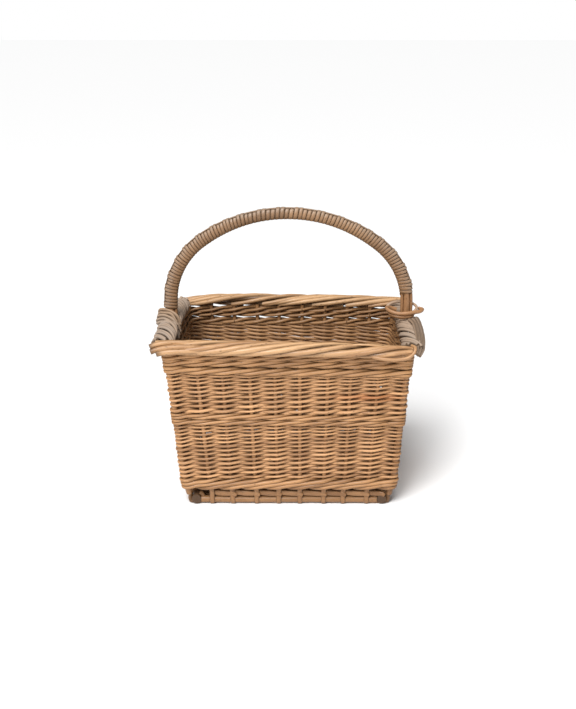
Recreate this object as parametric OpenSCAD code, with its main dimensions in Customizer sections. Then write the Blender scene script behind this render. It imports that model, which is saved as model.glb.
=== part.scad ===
// Rectangular willow market basket with a fixed bow handle over its long axis.
// Origin: middle of the footprint, on the ground. X runs along the basket, +Z is up.
// All four walls lean outwards by the same amount, so every corner runs up a 45 degree plane.

/* [Walls] */
// Half the length between the middles of the two end walls, at the foot
foot_half_x = 163.8; // [150:1:190]
// Half the depth between the middles of the front and back walls, at the foot
foot_half_y = 113.3; // [108:1:140]
// Outward lean of each wall from upright, in degrees
wall_lean = 4.14; // [2:0.2:6]
// Thickness of a randed panel: one weaver on each side of the stakes
panel_t = 10; // [9:0.5:12]
// Thickness of the lighter wales, in the middle of the wall and above the upper panel
light_wale_t = 12; // [10:0.5:13]
// Thickness of the heavy wales, at the bottom and under the border
heavy_wale_t = 13; // [11:0.5:14]

/* [Heights of the bands] */
// Top of the foot, where the bottom wale starts
foot_top = 26; // [25:1:28]
// Top of the bottom wale
bottom_wale_top = 49; // [42:1:56]
// Top of the lower randed panel
lower_panel_top = 143.4; // [130:1:150]
// Top of the middle wale
middle_wale_top = 160.4; // [156:1:170]
// Top of the upper randed panel
upper_panel_top = 225.8; // [215:1:230]
// Top of the wale above the upper panel, where the open slot starts
upper_wale_top = 235; // [232:1:238]
// Top of the open slot, where the top wale starts
slot_top = 242; // [240:1:246]
// Top of the top wale, where the border starts
top_wale_top = 257; // [254:1:258]

/* [Border] */
// Half the length between the middles of the end borders
rim_half_x = 186; // [182:1:190]
// Half the depth between the middles of the front and back borders
rim_half_y = 138.5; // [136:0.5:142]
// Height of the middle of the border
rim_z = 269; // [269:0.5:272]
// Width of the front and back borders
border_w = 29; // [26:1:32]
// Width of the plaited end borders
end_border_w = 37; // [33:1:40]
// Height of every border
border_h = 23; // [20:1:23]

/* [Stakes] */
// Number of stakes in the front wall and in the back wall
long_stakes = 8; // [6:1:9]
// Number of stakes in each end wall, an even number that leaves room for the bow in the middle
end_stakes = 6; // [4:2:6]
// Radius of a stake
stake_r = 3; // [2.5:0.1:3.5]
// Radius of a corner post
post_r = 4.5; // [3.5:0.1:4.5]

/* [Foot and base] */
// Radius of the rod along the front and the back of the foot
foot_rod_r = 5.3; // [5:0.1:5.5]
// Radius of the thick stick under each end
end_stick_r = 7.8; // [7:0.1:8]
// Thickness of the flattened strap that each stake wraps around the foot
strap_t = 2; // [1.5:0.1:2]
// Width of that strap
strap_w = 7; // [5:0.5:8]
// Radius of the tail that each strap leaves along the foot
tail_r = 3.2; // [2.5:0.1:3.2]
// Number of thin sticks inside the base
base_stick_count = 7; // [5:2:9]
// Radius of a thin base stick
base_stick_r = 3.6; // [3:0.1:4]
// Thickness of the woven base
base_t = 9; // [8.5:0.5:10]

/* [Handle] */
// Half the distance between the handle's legs
bow_half_x = 187; // [186:0.5:188]
// Height of the middle of the handle at its top
bow_top_z = 447; // [420:1:460]
// Radius of each shoulder
bow_shoulder_radius = 115; // [108:1:125]
// Radius of the bow's own rod
bow_r = 5; // [4.8:0.1:5.2]
// Radius of the rods bound to the inner and outer side of the bow
side_rod_r = 2; // [1.5:0.1:2]
// Thickness of the flat skein wound around the handle
skein_t = 0.7; // [0.6:0.1:0.8]
// Height at which the winding starts on the left leg
wrap_left_z = 292; // [291:1:300]
// Angle up the right shoulder at which the winding ends
wrap_right_angle = 8; // [4:1:14]

/* [Hidden] */
$fn = 64;
gap = 0.1;
bore_gap = 0.05;
sides = ["front", "right", "back", "left"];
bands = ["bottom_wale", "lower_randing", "middle_wale", "upper_randing", "upper_wale", "top_wale"];
base_nodes = ["base_end_sticks", "base_sticks", "base_weave", "foot_rod_front", "foot_rod_back"];
handle_nodes = ["handle_bow", "handle_side_rods", "handle_leaders", "handle_wrapping",
                "handle_tie_left", "handle_loop_right"];

slope = tan(wall_lean);
border_bottom = rim_z - border_h / 2;
border_top = rim_z + border_h / 2;
stake_top = border_bottom + 7;
strap_r = foot_rod_r + strap_t;
end_strap_r = end_stick_r + strap_t;
strap_flat = 0.35;
foot_rod_z = strap_r - strap_flat;
end_stick_z = end_strap_r - strap_flat;
foot_rod_y = foot_half_y - 2.5;
end_stick_x = foot_half_x - 12.3;
tail_gap = 0.5;
stake_start = foot_top - 2;
base_half_x = end_stick_x - end_strap_r - 0.3;
base_half_y = foot_rod_y - strap_r - 0.3;
base_z = 9;

// The three rods of the handle lie in a row in the plane of the arch.
rod_spacing = 0.3;
side_rod_offset = bow_r + side_rod_r + rod_spacing;
wrap_half_w = side_rod_offset + side_rod_r + gap + skein_t;
wrap_half_d = bow_r + gap + skein_t;
leader_r = 0.8;
leader_spread = 2.6;
leader_offset = wrap_half_w + leader_r + 0.05;
outer_leader_offset = leader_offset - 0.4;
bow_end_z = border_bottom + 0.6;
bow_tail_r = 3.4;
bow_tail_z = 120;
side_rod_end_z = border_bottom + 10;

// Each shoulder arc is tangent to its upright leg and to the flatter top arc, which it meets on a line
// that rises 4 for every 3 outwards.
meet = [3, 4, 5];
shoulder_x = bow_half_x - bow_shoulder_radius;
bow_top_radius = bow_shoulder_radius + shoulder_x * meet[2] / meet[0];
top_centre_z = bow_top_z - bow_top_radius;
shoulder_z = top_centre_z + shoulder_x * meet[1] / meet[0];

straw = "#c19a66";
tan_willow = "#b98d58";
dark_willow = "#9c7446";
grey_willow = "#b39d86";

function is_end(side) = side == "left" || side == "right";

// Distance from the middle of the basket to the middle of a wall at height z
function wall_out(side, z) = (is_end(side) ? foot_half_x : foot_half_y) + z * slope;

// Half the length of that wall between the middles of its neighbours
function wall_along(side, z) = (is_end(side) ? foot_half_y : foot_half_x) + z * slope;

function stake_count(side) = is_end(side) ? end_stakes : long_stakes;

// Stakes stand evenly and fan out with the wall, with a wider bay at each corner.
function stake_along(side, i, z) =
    let (n = stake_count(side), pitch = 2 * wall_along(side, z) / (n + 1.2))
    (i - (n - 1) / 2) * pitch;

function stake_point(side, i, z) = [stake_along(side, i, z), -wall_out(side, z), z];

// Every wall is built as the front one, facing -Y, and turned into its place.
function turn(side) = side == "front" ? 0 : side == "right" ? 90 : side == "back" ? 180 : -90;

module on(side) {
    rotate([0, 0, turn(side)])
        children();
}

// Straight round rod between two points
module rod(from, to, r) {
    step = to - from;
    length = norm(step);
    translate(from)
        rotate([-asin(step.y / length), atan2(step.x, step.z), 0])
            cylinder(h = length, r = r);
}

module stake_rod(side, i, r, from_z, to_z) {
    rod(stake_point(side, i, from_z), stake_point(side, i, to_z), r);
}

// Corner posts stand just inside the line where two walls meet.
module post_rod(sx, sy, r, from_z, to_z) {
    inset = 2;
    function corner(z) = [sx * (foot_half_x + z * slope - inset), sy * (foot_half_y + z * slope - inset), z];
    rod(corner(from_z), corner(to_z), r);
}

module all_posts(r, from_z, to_z) {
    for (sx = [-1, 1])
        for (sy = [-1, 1])
            post_rod(sx, sy, r, from_z, to_z);
}

// Below the border the bow is a thin tail, pushed down beside the stakes of the end wall.
module bow_tail(r, from_z, to_z) {
    for (s = [-1, 1])
        rod([s * (foot_half_x + from_z * slope), 0, from_z], [s * (foot_half_x + to_z * slope), 0, to_z], r);
}

// A leaning slab between two heights, mitred at the corners of the basket
module slab(side, from_z, to_z, t) {
    low = -wall_out(side, from_z);
    high = -wall_out(side, to_z);
    longest = 2 * (wall_along(side, to_z) + t);
    mitre = wall_along(side, 0) - wall_out(side, 0) - gap;
    block = 2 * longest;
    difference() {
        rotate([90, 0, 90])
            linear_extrude(height = longest, center = true)
                polygon([[low - t / 2, from_z], [low + t / 2, from_z], [high + t / 2, to_z], [high - t / 2, to_z]]);
        for (s = [0, 1])
            mirror([s, 0, 0])
                translate([mitre, 0, 0])
                    rotate([0, 0, 45])
                        translate([0, -block / 2, 0])
                            cube([block, block, block]);
    }
}

// One side of a woven band, bored for its stakes, its corner posts and the bow's tail
module band(side, from_z, to_z, t) {
    difference() {
        on(side)
            slab(side, from_z + gap, to_z - gap, t);
        on(side)
            for (i = [0 : stake_count(side) - 1])
                stake_rod(side, i, stake_r + bore_gap, from_z - 5, to_z + 5);
        all_posts(post_r + bore_gap, from_z - 5, to_z + 5);
        if (is_end(side) && to_z > bow_tail_z)
            bow_tail(bow_tail_r + bore_gap, max(from_z - 5, bow_tail_z - gap), to_z + 5);
    }
}

module bottom_wale(side) {
    color(tan_willow)
        band(side, foot_top, bottom_wale_top, heavy_wale_t);
}

module lower_randing(side) {
    color(straw)
        band(side, bottom_wale_top, lower_panel_top, panel_t);
}

module middle_wale(side) {
    color(tan_willow)
        band(side, lower_panel_top, middle_wale_top, light_wale_t);
}

module upper_randing(side) {
    color(straw)
        band(side, middle_wale_top, upper_panel_top, panel_t);
}

module upper_wale(side) {
    color(tan_willow)
        band(side, upper_panel_top, upper_wale_top, light_wale_t);
}

module top_wale(side) {
    color(tan_willow)
        band(side, slot_top, top_wale_top, heavy_wale_t);
}

// The butt of a stake is flattened into a strap around the foot stick, and its end lies along the foot.
module stake(side, i, stick_out, stick_z, ring_r) {
    foot_x = stake_along(side, i, stake_start);
    upright = stake_point(side, i, stake_start);
    tail_z = max(stick_z + ring_r, end_stick_z + end_stick_r) + tail_r + tail_gap;
    tail_y = -upright.y - stake_r - tail_r - tail_gap;
    tail_length = stake_along(side, 1, stake_start) - stake_along(side, 0, stake_start) - 2 * stake_r - 3;
    difference() {
        union() {
            translate([foot_x, -stick_out, stick_z])
                rotate([0, 90, 0])
                    cylinder(h = strap_w, r = ring_r, center = true);
            rod([foot_x, -stick_out - ring_r + tail_r, stick_z], upright, stake_r - 0.2);
            stake_rod(side, i, stake_r, stake_start - 1, stake_top);
            rod([foot_x, -tail_y, tail_z], [foot_x + tail_length, -tail_y, tail_z], tail_r);
        }
        translate([foot_x, -stick_out, stick_z])
            rotate([0, 90, 0])
                cylinder(h = 3 * strap_w, r = ring_r - strap_t + bore_gap, center = true);
        translate([foot_x - strap_w, -stick_out - 2 * ring_r, -10])
            cube([2 * strap_w, 4 * ring_r, 10]);
    }
}

module stakes(side) {
    color(dark_willow)
        on(side)
            for (i = [0 : stake_count(side) - 1])
                if (is_end(side))
                    stake(side, i, end_stick_x, end_stick_z, end_strap_r);
                else
                    stake(side, i, foot_rod_y, foot_rod_z, strap_r);
}

module corner_posts() {
    color(dark_willow)
        all_posts(post_r, 18, border_bottom + 5);
}

module base_end_sticks() {
    color(dark_willow)
        for (s = [-1, 1])
            translate([s * end_stick_x, 0, end_stick_z])
                rotate([90, 0, 0])
                    cylinder(h = 2 * (foot_rod_y + foot_rod_r), r = end_stick_r, center = true);
}

module foot_rod(s) {
    color(tan_willow)
        translate([0, s * foot_rod_y, foot_rod_z])
            rotate([0, 90, 0])
                cylinder(h = 2 * (end_stick_x - end_stick_r - 0.3), r = foot_rod_r, center = true);
}

module foot_rod_front() {
    foot_rod(-1);
}

module foot_rod_back() {
    foot_rod(1);
}

module base_stick_row(r) {
    pitch = 2 * base_half_x / (base_stick_count + 1);
    for (i = [1 : base_stick_count])
        translate([-base_half_x + i * pitch, 0, base_z])
            rotate([90, 0, 0])
                cylinder(h = 2 * base_half_y, r = r, center = true);
}

module base_sticks() {
    color(dark_willow)
        base_stick_row(base_stick_r);
}

module base_weave() {
    color(straw)
        difference() {
            translate([-base_half_x, -base_half_y, base_z - base_t / 2])
                cube([2 * base_half_x, 2 * base_half_y, base_t]);
            base_stick_row(base_stick_r + bore_gap);
        }
}

// Flat bar with round edges, lying along X
module roll(length, w) {
    rotate([90, 0, 90])
        linear_extrude(height = length, center = true) {
            square([w - border_h, border_h], center = true);
            for (s = [-1, 1])
                translate([s * (w - border_h) / 2, 0])
                    circle(r = border_h / 2);
        }
}

// Upright rods of the handle where they pass through the end borders
module leg_rods(clearance, from_z, to_z) {
    for (s = [-1, 1]) {
        translate([s * bow_half_x, 0, from_z])
            cylinder(h = to_z - from_z, r = bow_r + clearance);
        for (t = [-1, 1])
            translate([s * bow_half_x + t * side_rod_offset, 0, from_z])
                cylinder(h = to_z - from_z, r = side_rod_r + clearance);
    }
}

module border(side) {
    rim_out = is_end(side) ? rim_half_x : rim_half_y;
    front_inner = rim_half_y - border_w / 2;
    length = is_end(side) ? 2 * (front_inner - gap) : 2 * (rim_half_x + end_border_w / 2);
    color(is_end(side) ? grey_willow : straw)
        difference() {
            on(side)
                translate([0, -rim_out, rim_z])
                    roll(length, is_end(side) ? end_border_w : border_w);
            on(side)
                for (i = [0 : stake_count(side) - 1])
                    stake_rod(side, i, stake_r + bore_gap, border_bottom - 5, stake_top + gap);
            all_posts(post_r + bore_gap, border_bottom - 5, border_bottom + 5 + gap);
            if (is_end(side)) {
                leg_rods(bore_gap, bow_end_z, border_top + 5);
                bow_tail(bow_tail_r + bore_gap, border_bottom - 5, rim_z);
            }
        }
}

// Part of a ring in the plane of the arch, kept inside a wedge. X in the profile points out of the arch.
module arc(centre_x, centre_z, radius, wedge) {
    translate([centre_x, 0, centre_z])
        rotate([90, 0, 0])
            intersection() {
                rotate_extrude()
                    translate([radius, 0])
                        children();
                linear_extrude(height = 4 * bow_r + 10, center = true)
                    polygon(wedge);
            }
}

// Top and both shoulders, with the right shoulder starting at an angle above its leg
module arch(right_start_angle) {
    reach = 100;
    near = [meet[0] * reach, meet[1] * reach];
    far = [meet[1] * reach, meet[1] * reach];
    start = far.x * [cos(right_start_angle), sin(right_start_angle)];
    arc(0, top_centre_z, bow_top_radius, [[0, 0], near, [-near.x, near.y]])
        children();
    arc(shoulder_x, shoulder_z, bow_shoulder_radius, [[0, 0], start, far, near])
        children();
    mirror([1, 0, 0])
        arc(shoulder_x, shoulder_z, bow_shoulder_radius, [[0, 0], [far.x, 0], far, near])
            children();
}

module leg(side_sign, from_z) {
    translate([side_sign * bow_half_x, 0, from_z])
        linear_extrude(height = shoulder_z - from_z)
            scale([side_sign, 1])
                children();
}

module handle_bow() {
    color(tan_willow) {
        arch(0)
            circle(r = bow_r);
        for (s = [-1, 1])
            leg(s, bow_end_z)
                circle(r = bow_r);
        bow_tail(bow_tail_r, bow_tail_z, bow_end_z + 4);
    }
}

module handle_side_rods() {
    color(tan_willow)
        for (t = [-1, 1]) {
            arch(0)
                translate([t * side_rod_offset, 0])
                    circle(r = side_rod_r);
            for (s = [-1, 1])
                leg(s, side_rod_end_z)
                    translate([t * side_rod_offset, 0])
                        circle(r = side_rod_r);
        }
}

// Three fine rods lie along the outside of the winding.
module handle_leaders() {
    color(grey_willow)
        for (t = [-1, 0, 1])
            arch(wrap_right_angle)
                translate([t == 0 ? leader_offset : outer_leader_offset, t * leader_spread])
                    circle(r = leader_r);
}

// Outline with round ends, in the plane across the handle
module oval(half_w, half_d) {
    square([2 * (half_w - half_d), 2 * half_d], center = true);
    for (s = [-1, 1])
        translate([s * (half_w - half_d), 0])
            circle(r = half_d);
}

module winding() {
    difference() {
        oval(wrap_half_w, wrap_half_d);
        oval(wrap_half_w - skein_t, wrap_half_d - skein_t);
    }
}

module handle_wrapping() {
    color(dark_willow) {
        arch(wrap_right_angle)
            winding();
        leg(-1, wrap_left_z)
            winding();
    }
}

module ring(x, z, radius, r) {
    translate([x, 0, z])
        rotate_extrude()
            translate([radius, 0])
                circle(r = r);
}

// Two rods of the border cross over the foot of the left leg.
module handle_tie_left() {
    tie_r = 2.5;
    color(grey_willow)
        for (turn = [0, 1])
            ring(-bow_half_x, border_top + tie_r + 0.3 + turn * (2 * tie_r + 0.1),
                 side_rod_offset + side_rod_r + tie_r + 0.3, tie_r);
}

// A loose ring of thin rod lies round the foot of the right leg.
module handle_loop_right() {
    loop_r = 2.2;
    color(tan_willow)
        for (turn = [0, 1])
            ring(bow_half_x - 9, border_top + loop_r + 0.3 + turn * (2 * loop_r + 0.2), 24, loop_r);
}

base_end_sticks();
base_sticks();
base_weave();
foot_rod_front();
foot_rod_back();
corner_posts();
for (side = sides) {
    stakes(side);
    bottom_wale(side);
    lower_randing(side);
    middle_wale(side);
    upper_randing(side);
    upper_wale(side);
    top_wale(side);
    border(side);
}
handle_bow();
handle_side_rods();
handle_leaders();
handle_wrapping();
handle_tie_left();
handle_loop_right();
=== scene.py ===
# %% [markdown]
# # A willow market basket
# This file dresses a packed basket frame in willow. The frame gives every size; here each rod is
# bent, woven and coloured by code. All lengths are kept in millimetres, as a maker would say them,
# and turned into metres only when a mesh is made.

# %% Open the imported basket
import math

import bpy
import numpy as np
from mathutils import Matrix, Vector


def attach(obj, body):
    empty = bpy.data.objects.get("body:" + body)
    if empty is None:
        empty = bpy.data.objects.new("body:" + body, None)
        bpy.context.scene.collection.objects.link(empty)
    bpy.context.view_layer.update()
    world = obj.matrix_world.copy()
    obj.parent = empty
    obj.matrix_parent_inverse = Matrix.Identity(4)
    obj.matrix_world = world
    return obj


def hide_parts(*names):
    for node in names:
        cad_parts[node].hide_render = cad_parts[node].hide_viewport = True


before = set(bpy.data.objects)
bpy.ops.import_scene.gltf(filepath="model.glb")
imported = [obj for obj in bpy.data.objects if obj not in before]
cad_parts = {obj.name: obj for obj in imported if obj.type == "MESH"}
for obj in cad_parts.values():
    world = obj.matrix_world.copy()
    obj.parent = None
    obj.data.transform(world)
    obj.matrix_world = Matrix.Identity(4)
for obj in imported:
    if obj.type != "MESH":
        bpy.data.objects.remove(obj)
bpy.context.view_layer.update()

MM = 0.001

# %% [markdown]
# ## The camera
# The basket is seen from a little above its front, from about a metre and a half away. A lens of
# about 48 mm keeps the front border only slightly larger than the back one.

# %% Set the camera
look_down, look_left = 18.99, 1.0

lens = bpy.data.cameras.new("camera")
lens.lens = 48.24
lens.sensor_width = 36.0
camera = bpy.data.objects.new("camera", lens)
camera.location = (0.0238, -1.4768, 0.722)
camera.rotation_euler = (math.radians(90.0 - look_down), 0.0, math.radians(look_left))
bpy.context.scene.collection.objects.link(camera)
bpy.context.scene.camera = camera
print("camera at", tuple(round(v, 3) for v in camera.location))

# %% [markdown]
# ## The floor
# A very large pale floor stands for the studio sweep. One flat square is enough, because its far
# edge lies beyond anything the camera can tell apart, and its colour is the same all over.

# %% Lay the floor
floor_reach = 60.0
floor_paleness = 0.9

square = [(-1, -1), (1, -1), (1, 1), (-1, 1)]
floor_mesh = bpy.data.meshes.new("floor")
floor_mesh.from_pydata([(x * floor_reach, y * floor_reach, 0) for x, y in square], [], [(0, 1, 2, 3)])
floor = bpy.data.objects.new("floor", floor_mesh)
bpy.context.scene.collection.objects.link(floor)
floor_finish = bpy.data.materials.new("pale_floor")
floor_finish.use_nodes = True
floor_shader = floor_finish.node_tree.nodes["Principled BSDF"]
floor_shader.inputs["Base Color"].default_value = (floor_paleness, floor_paleness, floor_paleness, 1.0)
floor_shader.inputs["Roughness"].default_value = 0.9
floor_mesh.materials.append(floor_finish)
print("floor", 2 * floor_reach, "metres across")

# %% [markdown]
# ## The light
# A square lamp hangs in front and a little to the left, and draws soft highlights along the rods. A
# very wide sun, high in front, stands for a large white ceiling: it lights the inside as well. The
# world is bright where it is seen but weak as a lamp, so the gaps between the rods stay dark.

# %% Hang the lamps
def hang(name, lamp, place, target):
    """Hang a lamp at place, turned towards target."""
    holder = bpy.data.objects.new(name, lamp)
    holder.location = place
    holder.rotation_euler = (Vector(target) - Vector(place)).to_track_quat("-Z", "Y").to_euler()
    bpy.context.scene.collection.objects.link(holder)

front_lamp = bpy.data.lights.new("front_lamp", "AREA")
front_lamp.shape = "SQUARE"
front_lamp.size = 1.0
front_lamp.energy = 40.0
hang("front_lamp", front_lamp, (-0.8, -1.9, 1.75), (0.0, 0.0, 0.15))
wide_lamp = bpy.data.lights.new("wide_lamp", "SUN")
wide_lamp.angle = math.radians(38.0)
wide_lamp.energy = 3.3
hang("wide_lamp", wide_lamp, (-0.3, -0.85, 1.75), (0.0, 0.0, 0.0))

# %% Paint the studio
world_as_lamp, world_as_seen = 0.2, 1.0

world = bpy.data.worlds.new("studio")
world.use_nodes = True
sky = world.node_tree.nodes["Background"]
sky.inputs["Color"].default_value = (1.0, 1.0, 1.0, 1.0)
seen = world.node_tree.nodes.new("ShaderNodeLightPath")
strength = world.node_tree.nodes.new("ShaderNodeMapRange")
strength.inputs["To Min"].default_value = world_as_lamp
strength.inputs["To Max"].default_value = world_as_seen
world.node_tree.links.new(seen.outputs["Is Camera Ray"], strength.inputs["Value"])
world.node_tree.links.new(strength.outputs["Result"], sky.inputs["Strength"])
bpy.context.scene.world = world
bpy.context.scene.view_settings.view_transform = "Standard"
print("two lamps hung, world painted")

# %% [markdown]
# ## A rod of willow
# Everything here is a willow rod: a long round stick, thick at its butt and thin at its tip. A rod
# could be a curve with a bevel, but a mesh swept along points is better here, because each point can
# also carry facts for the finish: which rod it belongs to, how far along it lies and how grey it is.
# First come the lines: a rod is told only where it turns, and the curve between is worked out.

# %% Smooth a line through its turning points
def smooth_line(knots, step):
    """A soft curve through the knots, with a point about every step millimetres, two or more to a gap."""
    p = np.asarray(knots, float)
    gap = np.maximum(np.linalg.norm(np.diff(p, axis=0), axis=1), 1e-6)
    slope = np.diff(p, axis=0) / gap[:, None]
    lean = np.empty_like(p)
    lean[0], lean[-1] = slope[0], slope[-1]
    lean[1:-1] = (slope[1:] * gap[:-1, None] + slope[:-1] * gap[1:, None]) / (gap[1:] + gap[:-1])[:, None]
    pieces = []
    for i, length in enumerate(gap):
        count = max(2, int(round(length / step)))
        t = (np.arange(count) / count)[:, None]
        pieces.append((2 * t**3 - 3 * t**2 + 1) * p[i] + (t**3 - 2 * t**2 + t) * length * lean[i]
                      + (3 * t**2 - 2 * t**3) * p[i + 1] + (t**3 - t**2) * length * lean[i + 1])
    pieces.append(p[-1:])
    return np.vstack(pieces)

def run_of(line):
    """How far along the line each of its points lies."""
    return np.concatenate([[0.0], np.cumsum(np.linalg.norm(np.diff(line, axis=0), axis=1))])

def directions(line, across):
    """Unit vectors ahead, to the side and up, at each point of the line."""
    ahead = np.gradient(line, axis=0)
    ahead /= np.maximum(np.linalg.norm(ahead, axis=1), 1e-9)[:, None]
    side = np.cross(ahead, np.broadcast_to(np.asarray(across, float), line.shape))
    side /= np.maximum(np.linalg.norm(side, axis=1), 1e-9)[:, None]
    return ahead, side, np.cross(side, ahead)

print("a quarter bend has", len(smooth_line([(0, 0, 0), (10, 4, 0), (14, 14, 0)], 4.0)), "points")

# %% [markdown]
# ## A bundle of rods
# A bundle collects rods, then turns them all into one mesh. One mesh for each rod would be slow to
# handle, and the facts keep the rods apart anyway. Each rod has a ring of corners at each point and
# its own cut ends, with five facts at each corner: `rod` (a number for that rod), `grain` (the point
# as if the rod were straight), `age` (how grey), `cut` (end grain) and a darkness fact (painted shade
# in the crevices and on hidden sides, and darker rod ends).

# %% Collect rods in a bundle
dice = np.random.default_rng(417)
# the most a corner is darkened, mostly by painted shade
most_darkening = 0.9

class Bundle:
    def __init__(self):
        self.corners, self.quads, self.tris, self.facts = [], [], [], []
        self.count = 0

    def add(self, line, thick, flat=1.0, across=(0, 0, 1), sides=8, wobble=0.035, tone=None, age=0.0,
            shade=0.0, where="outward", rim=0.0, inner=0.0):
        """One rod along line. thick is its radius, flat squeezes it and wobble makes it uneven. shade
        darkens the rod where it is told, mostly as painted shade; rim is painted shade along both edges
        and inner is painted shade on the inside."""
        line = np.asarray(line, float)
        n = len(line)
        along = run_of(line)
        ahead, side, up = directions(line, across)
        start = dice.random() * 60.0
        thick = np.broadcast_to(np.asarray(thick, float), (n,)).copy()
        thick *= 1 + wobble * (np.sin(along / 9.0 + start) + np.sin(along / 3.7 + 2.1 * start))
        flat = np.broadcast_to(np.asarray(flat, float), (n,))
        turn = np.arange(sides) * 2 * math.pi / sides + start
        c, s = np.cos(turn), np.sin(turn)
        sideways = c[None, :, None] * side[:, None, :] * flat[:, None, None]
        upwards = s[None, :, None] * up[:, None, :]
        ring = line[:, None, :] + thick[:, None, None] * (sideways + upwards)
        tone = dice.random() if tone is None else tone
        grain = np.stack([c * thick[:, None] + start, s * thick[:, None] + 3 * start,
                          np.broadcast_to(along[:, None] + 7 * start, (n, sides))], -1)
        self._cover(ring, ahead * thick[:, None], tone, grain, np.broadcast_to(np.asarray(age, float), (n,)),
                    self._darkening(ring, c, s, shade, where, rim, inner))

    def _darkening(self, ring, c, s, shade, where, rim, inner):
        """How dark each corner of the rings is painted, mostly as shade; c is outwards and s is towards the edges.
        """
        n, sides = ring.shape[:2]
        at_edges = np.clip((np.abs(s) - 0.6) / 0.4, 0, 1)
        if callable(shade):
            painted_shade_and_dark_ends = shade(ring)
        else:
            # outward: painted shade on the side that faces the upright
            lies = {"outward": np.clip(0.45 + c, 0, 1), "all round": np.ones(sides), "edges": at_edges}
            painted_shade_and_dark_ends = np.broadcast_to(np.asarray(shade, float), (n,))[:, None] * lies[where]
        # rim paints shade along both edges, inner paints shade on the inward side
        return np.clip(painted_shade_and_dark_ends + rim * at_edges + inner * np.clip(-c, 0, 1), 0, most_darkening)

    def _cover(self, ring, ahead, tone, grain, age, painted_shade_and_dark_ends):
        """Bark between the rings, and a slightly domed cut at each end."""
        n, sides = ring.shape[:2]
        k = np.arange(sides)
        k2 = (k + 1) % sides
        r = np.arange(n - 1)[:, None] * sides + self.count
        self.quads.append(np.stack([r + k, r + k2, r + k2 + sides, r + k + sides], -1).reshape(-1, 4))
        self._store(ring.reshape(-1, 3), tone, grain.reshape(-1, 3), np.repeat(age, sides), 0.0, painted_shade_and_dark_ends.ravel())
        for end, order in ((0, -1), (n - 1, 1)):
            first = self.count
            tip = ring[end].mean(0) + ahead[end] * order * 0.12
            self._store(np.vstack([ring[end], tip]), tone, np.vstack([grain[end], grain[end].mean(0)]),
                        np.full(sides + 1, age[end]), 1.0, np.full(sides + 1, painted_shade_and_dark_ends[end].min()))
            fan = np.stack([first + k, first + k2, np.full(sides, first + sides)], -1)
            self.tris.append(fan if order > 0 else fan[:, ::-1])

    def _store(self, corners, tone, grain, age, cut, painted_shade_and_dark_ends):
        self.corners.append(corners)
        m = len(corners)
        self.facts.append((np.full(m, tone), grain * MM, age, np.full(m, cut), painted_shade_and_dark_ends))
        self.count += m

    def make(self, name, finish, nodes):
        """The whole bundle as one Blender piece, riding on the basket and standing for its CAD nodes."""
        corners = settle(np.vstack(self.corners)) * MM
        quads, tris = np.vstack(self.quads)[:, ::-1], np.vstack(self.tris)[:, ::-1]
        mesh = bpy.data.meshes.new(name)
        mesh.vertices.add(len(corners))
        mesh.vertices.foreach_set("co", corners.astype(np.float32).ravel())
        loops = np.concatenate([quads.ravel(), tris.ravel()])
        mesh.loops.add(len(loops))
        mesh.loops.foreach_set("vertex_index", loops.astype(np.int32))
        sizes = np.concatenate([np.full(len(quads), 4), np.full(len(tris), 3)])
        mesh.polygons.add(len(sizes))
        loop_starts = np.concatenate([[0], np.cumsum(sizes)[:-1]])
        mesh.polygons.foreach_set("loop_start", loop_starts.astype(np.int32))
        mesh.polygons.foreach_set("use_smooth", np.ones(len(sizes), bool))
        self._write_facts(mesh)
        mesh.update(calc_edges=True)
        mesh.validate()
        mesh.materials.append(finish)
        piece = bpy.data.objects.new(name, mesh)
        bpy.context.scene.collection.objects.link(piece)
        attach(piece, "root")
        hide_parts(*nodes)
        print(f"{name}: {len(self.facts) // 3} rods, {2 * len(quads) + len(tris)} triangles")

    def _write_facts(self, mesh):
        tones, grains, ages, cuts, darkenings = (np.concatenate([f[i] for f in self.facts]) for i in range(5))
        for fact, values in (("rod", tones), ("age", ages), ("cut", cuts), ("painted_shade_and_dark_ends", darkenings)):
            mesh.attributes.new(fact, "FLOAT", "POINT").data.foreach_set("value", values.astype(np.float32))
        grain = mesh.attributes.new("grain", "FLOAT_VECTOR", "POINT")
        grain.data.foreach_set("vector", grains.astype(np.float32).ravel())

print("dice and bundles ready")

# %% [markdown]
# ## Two ways to lay a rod
# Some rods are bent through a few given turning points. Others pass many uprights, and at each of
# these stations their radius, flatness and painted shade change too. Both ways end in the same bundle.

# %% Bend and lay rods
def bend_rod(bundle, knots, step, first_r, last_r, **looks):
    """A rod through a few turning points, tapering from first_r to last_r."""
    line = smooth_line(knots, step)
    bundle.add(line, np.linspace(first_r, last_r, len(line)), **looks)

def lay_rod(bundle, stations, step, **looks):
    """A rod through stations of x, y, z, radius, flatness and painted shade."""
    table = np.array(stations)
    line = smooth_line(table[:, :3], step)
    passed = run_of(table[:, :3])
    marks = passed * run_of(line)[-1] / passed[-1]
    thick, flat, painted_shade_and_dark_ends = (np.interp(run_of(line), marks, table[:, i]) for i in (3, 4, 5))
    bundle.add(line, thick, flat=flat, shade=painted_shade_and_dark_ends, **looks)

print("rods can be bent and laid")

# %% [markdown]
# ## Nothing hand-made is quite square
# A willow basket twists and leans a little as it dries. One gentle shift is applied to every piece,
# so that all of them still meet. It turns the foot against the rim, tips the rim, draws in the foot,
# lets the back border sag and pushes the end borders out where the handle presses on them.

# %% Let the basket settle
rim_height = 280.0
foot_twist, rim_twist = math.radians(0.9), math.radians(-0.4)
rim_dip = 0.010
foot_tuck = 0.022
left_belly, right_belly = 4.5, 2.0
back_sag, back_left_sag, back_right_sag = 1.6, 5.8, 1.8

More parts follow.
